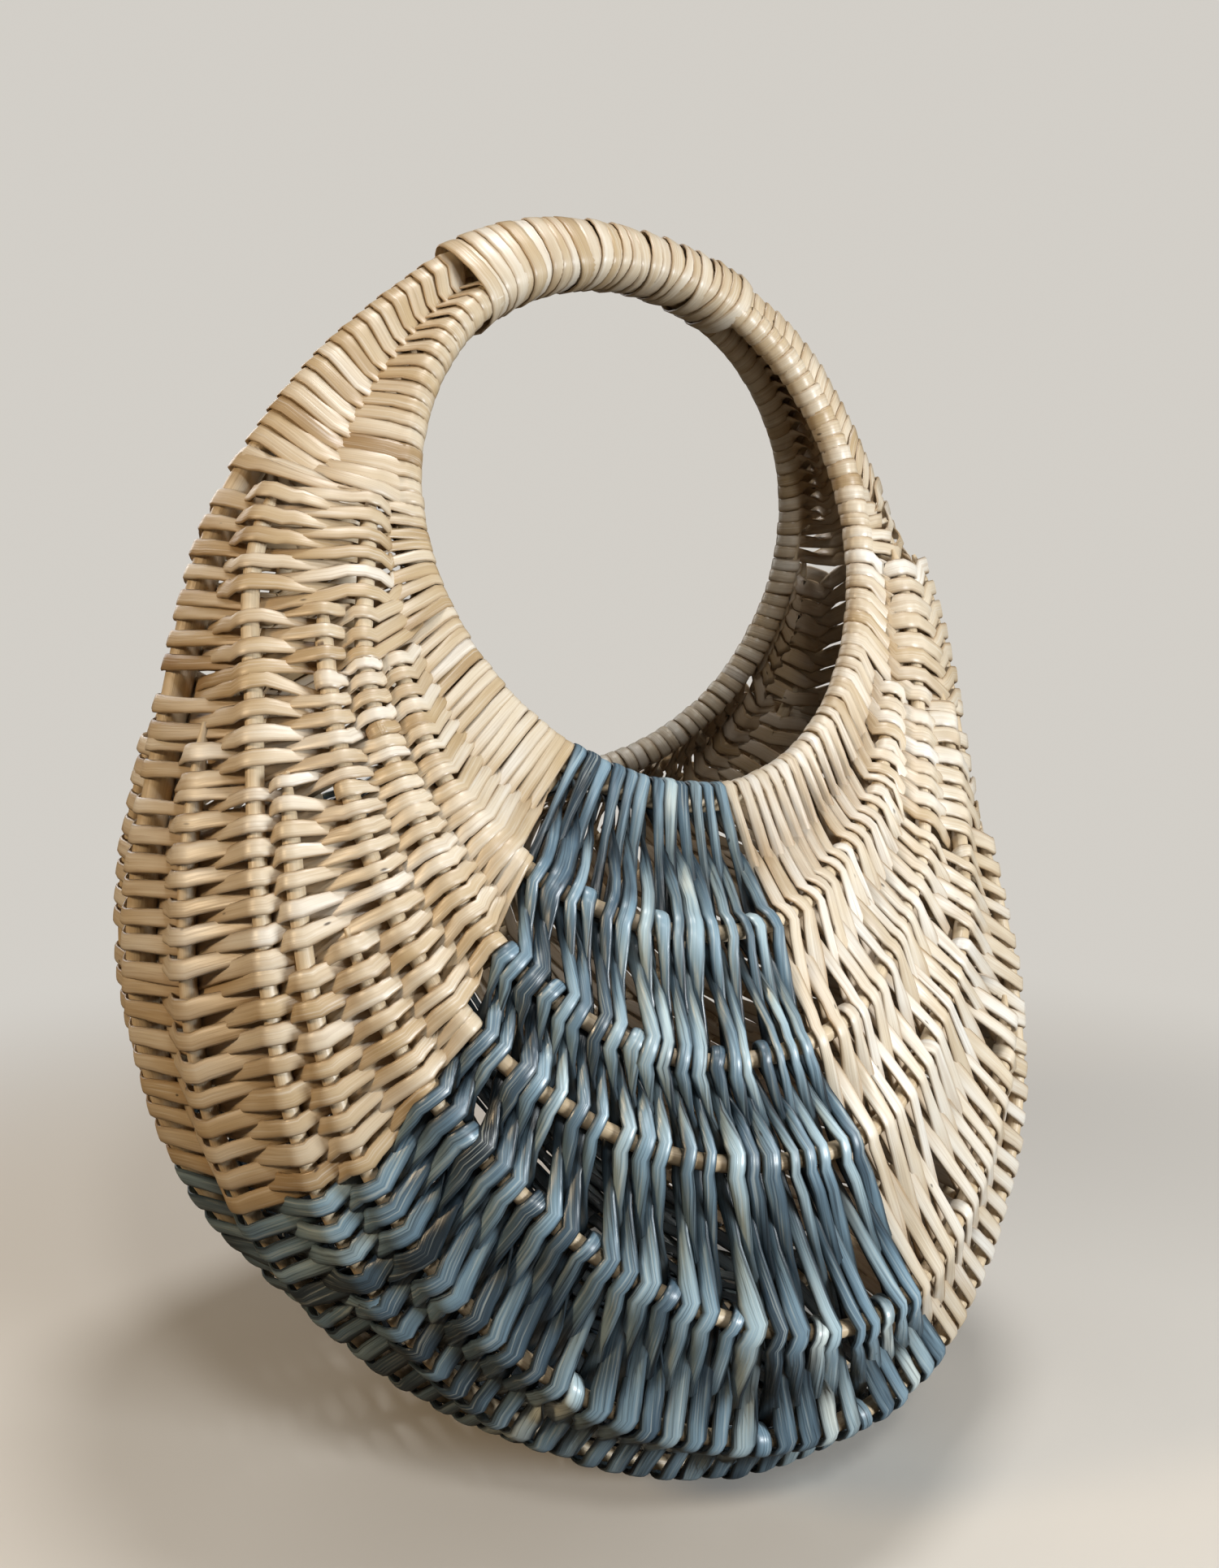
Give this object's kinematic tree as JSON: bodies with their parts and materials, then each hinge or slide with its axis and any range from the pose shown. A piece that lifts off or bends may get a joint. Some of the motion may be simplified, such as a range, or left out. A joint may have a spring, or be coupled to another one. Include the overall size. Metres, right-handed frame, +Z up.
{
  "type": "basket",
  "caption": "Round-bellied ribbed basket with a bound ring handle, pointed ribs and a woven wall of flat skeins in natural willow with a dark blue band.",
  "frame": {"origin": "on the base plane, under the middle of the basket seen from above", "axes": "+Z up from the base plane to the handle; +Y to the back, across the two rims; +X to the right seen from the front. The hoops lean to the right, as the basket stands."},
  "size_m": [0.3896, 0.3598, 0.5008],
  "materials": {
    "peeled_rod": "peeled willow rod, satin",
    "natural_skein": "split willow skein, smooth with a satin sheen",
    "blue_skein": "split willow skein dyed slate blue, satin sheen"
  },
  "bodies": {
    "root": {"front_rim_hoop": "peeled_rod", "keel_hoop": "peeled_rod", "back_rim_hoop": "peeled_rod", "front_rib_1": "peeled_rod", "front_rib_2": "peeled_rod", "front_rib_3": "peeled_rod", "front_rib_4": "peeled_rod", "front_rib_5": "peeled_rod", "front_rib_6": "peeled_rod", "front_rib_7": "peeled_rod", "back_rib_1": "peeled_rod", "back_rib_2": "peeled_rod", "back_rib_3": "peeled_rod", "back_rib_4": "peeled_rod", "back_rib_5": "peeled_rod", "back_rib_6": "peeled_rod", "back_rib_7": "peeled_rod", "left_ear_lashing": "natural_skein", "natural_weave_left_1": "natural_skein", "natural_weave_left_2": "natural_skein", "natural_weave_left_3": "natural_skein", "blue_weave_1": "blue_skein", "blue_weave_2": "blue_skein", "blue_weave_3": "blue_skein", "natural_weave_right_1": "natural_skein", "natural_weave_right_2": "natural_skein", "natural_weave_right_3": "natural_skein", "natural_weave_right_4": "natural_skein", "natural_weave_right_5": "natural_skein", "right_ear_lashing": "natural_skein", "handle_lapping": "natural_skein"}
  },
  "joints": []
}
